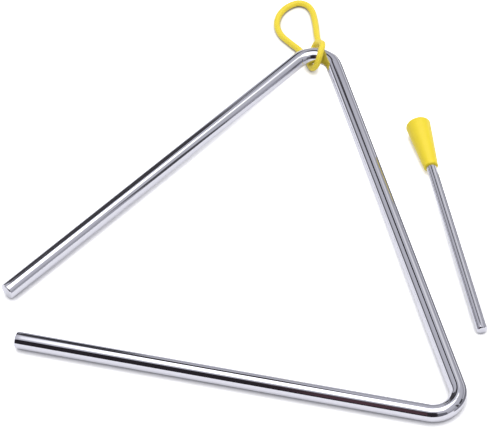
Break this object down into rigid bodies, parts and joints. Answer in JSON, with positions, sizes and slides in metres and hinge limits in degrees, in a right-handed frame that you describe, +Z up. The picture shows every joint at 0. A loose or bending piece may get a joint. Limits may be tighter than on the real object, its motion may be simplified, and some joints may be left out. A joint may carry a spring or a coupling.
{
  "type": "triangle instrument",
  "caption": "Bent round bar triangle, open at one corner, with a hitched cord loop at its top bend and a rod beater in a tapered grip lying beside it.",
  "frame": {"origin": "on the surface that it lies on, under the middle of the outline of the bar and beater, the cord left out", "axes": "+X along the base side, towards the closed corner; +Y from the base side to the top bend; +Z up, out of the triangle's plane"},
  "size_m": [0.2284, 0.2442, 0.0152],
  "materials": {
    "bar_chrome": "bright plated steel with fine polishing marks",
    "yellow_cord": "smooth, slightly waxy braided cord",
    "rod_chrome": "bright plated steel",
    "yellow_grip": "soft gloss moulding"
  },
  "bodies": {
    "triangle": {"triangle_bar": "bar_chrome"},
    "cord": {"hanging_cord": "yellow_cord"},
    "beater": {"beater_rod": "rod_chrome", "beater_grip": "yellow_grip"}
  },
  "joints": [
    {"name": "cord_swing", "type": "hinge", "parent": "triangle", "child": "cord", "pos_m": [-0.00396, 0.09995, 0.0073], "axis": [1, 0, 0], "range_deg": [0, 150]},
    {"name": "beater_lift", "type": "slide", "parent": "triangle", "child": "beater", "axis": [0, 0, 1], "range_m": [0, 0.1]}
  ]
}
